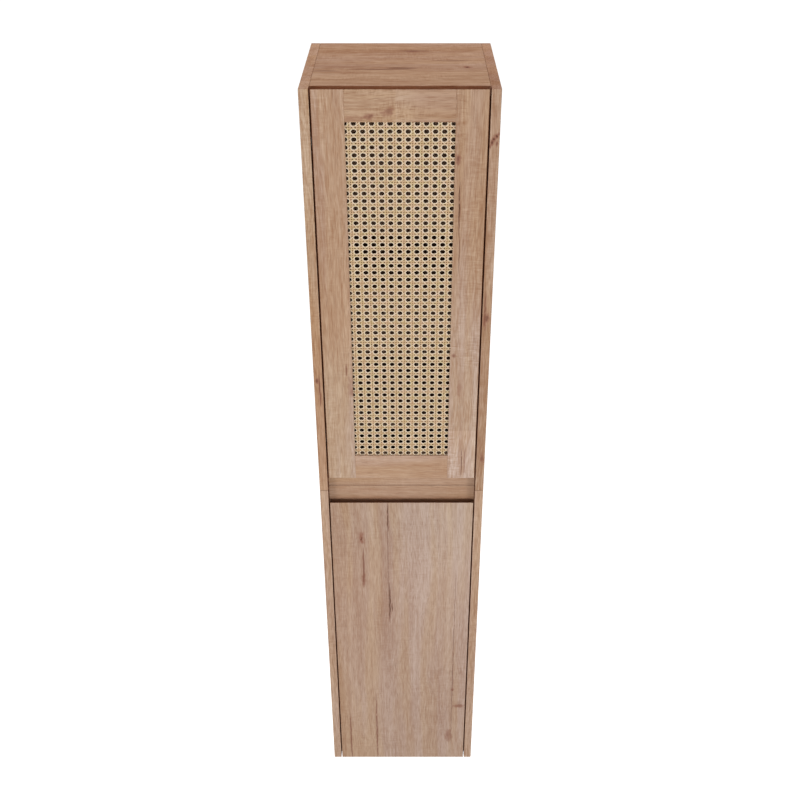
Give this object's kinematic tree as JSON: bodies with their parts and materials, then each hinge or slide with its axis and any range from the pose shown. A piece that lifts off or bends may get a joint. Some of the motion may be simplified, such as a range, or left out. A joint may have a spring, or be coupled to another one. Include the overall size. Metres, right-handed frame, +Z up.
{
  "type": "wall-mounted bathroom cabinet",
  "caption": "Tall narrow wall-hung bathroom cabinet in oak decor: a framed cane door above, a plain slab door below, and a finger-grip recess between them.",
  "frame": {"origin": "centre of the four wall-screw holes, on the wall plane", "axes": "+X right seen from the front, +Y towards the wall, +Z up"},
  "size_m": [0.35, 0.308, 1.72],
  "materials": {
    "oak_doors": "matt oak decor",
    "oak_carcass": "matt oak decor",
    "oak_inside": "matt oak decor",
    "back_board": "matt oak decor",
    "cane": "woven natural cane",
    "dowel_wood": "plain beech",
    "hinge_metal": "satin zinc",
    "steel": "zinc plated",
    "white_plastic": "matt",
    "buffer_rubber": "clear grey"
  },
  "bodies": {
    "cabinet": {"upper_left_side": "oak_carcass", "upper_right_side": "oak_carcass", "lower_left_side": "oak_carcass", "lower_right_side": "oak_carcass", "top_panel": "oak_carcass", "bottom_panel": "oak_carcass", "upper_floor_panel": "oak_carcass", "lower_ceiling_panel": "oak_carcass", "upper_grip_rail": "oak_carcass", "lower_grip_rail": "oak_carcass", "upper_back_panel": "back_board", "lower_back_panel": "back_board", "upper_shelf_low": "oak_inside", "upper_shelf_high": "oak_inside", "lower_shelf_low": "oak_inside", "lower_shelf_high": "oak_inside", "shelf_pins": "steel", "carcass_dowels": "dowel_wood", "cam_locks": "steel", "cam_bolts": "steel", "joining_sleeves": "steel", "joining_screws": "steel", "upper_left_hanger": "white_plastic", "upper_right_hanger": "white_plastic", "lower_left_hanger": "white_plastic", "lower_right_hanger": "white_plastic", "hanger_hooks": "steel", "hanger_adjusters": "steel", "upper_wall_rail": "steel", "lower_wall_rail": "steel", "magnet_catches": "steel", "door_buffers": "buffer_rubber", "upper_hinge_cabinet_leaves": "hinge_metal", "lower_hinge_cabinet_leaves": "hinge_metal", "cabinet_leaf_screws": "steel"},
    "upper_door": {"hinge_stile": "oak_doors", "free_stile": "oak_doors", "door_top_rail": "oak_doors", "door_bottom_rail": "oak_doors", "cane_panel": "cane", "left_bead": "oak_inside", "right_bead": "oak_inside", "top_bead": "oak_inside", "bottom_bead": "oak_inside", "bead_pins": "steel", "frame_dowels": "dowel_wood", "upper_hinge_door_leaves": "hinge_metal", "upper_door_leaf_screws": "steel", "upper_strike": "steel"},
    "lower_door": {"lower_door_panel": "oak_doors", "lower_hinge_door_leaves": "hinge_metal", "lower_door_leaf_screws": "steel", "lower_strike": "steel"},
    "upper_hinge_links": {"upper_hinge_links": "hinge_metal"},
    "lower_hinge_links": {"lower_hinge_links": "hinge_metal"}
  },
  "joints": [
    {"name": "upper_door_swing", "type": "hinge", "parent": "cabinet", "child": "upper_door", "pos_m": [-0.156, -0.308, 0.0845], "axis": [0, 0, -1], "range_deg": [0, 95]},
    {"name": "lower_door_swing", "type": "hinge", "parent": "cabinet", "child": "lower_door", "pos_m": [-0.156, -0.308, -0.8085], "axis": [0, 0, -1], "range_deg": [0, 95]},
    {"name": "upper_link_swing", "type": "hinge", "parent": "cabinet", "child": "upper_hinge_links", "pos_m": [-0.156, -0.308, 0.0845], "axis": [0, 0, -1], "range_deg": [0, 50]},
    {"name": "lower_link_swing", "type": "hinge", "parent": "cabinet", "child": "lower_hinge_links", "pos_m": [-0.156, -0.308, -0.8085], "axis": [0, 0, -1], "range_deg": [0, 50]}
  ],
  "couplings": [
    {"joint": "upper_link_swing", "follows": "upper_door_swing", "ratio": 0.5},
    {"joint": "lower_link_swing", "follows": "lower_door_swing", "ratio": 0.5}
  ]
}
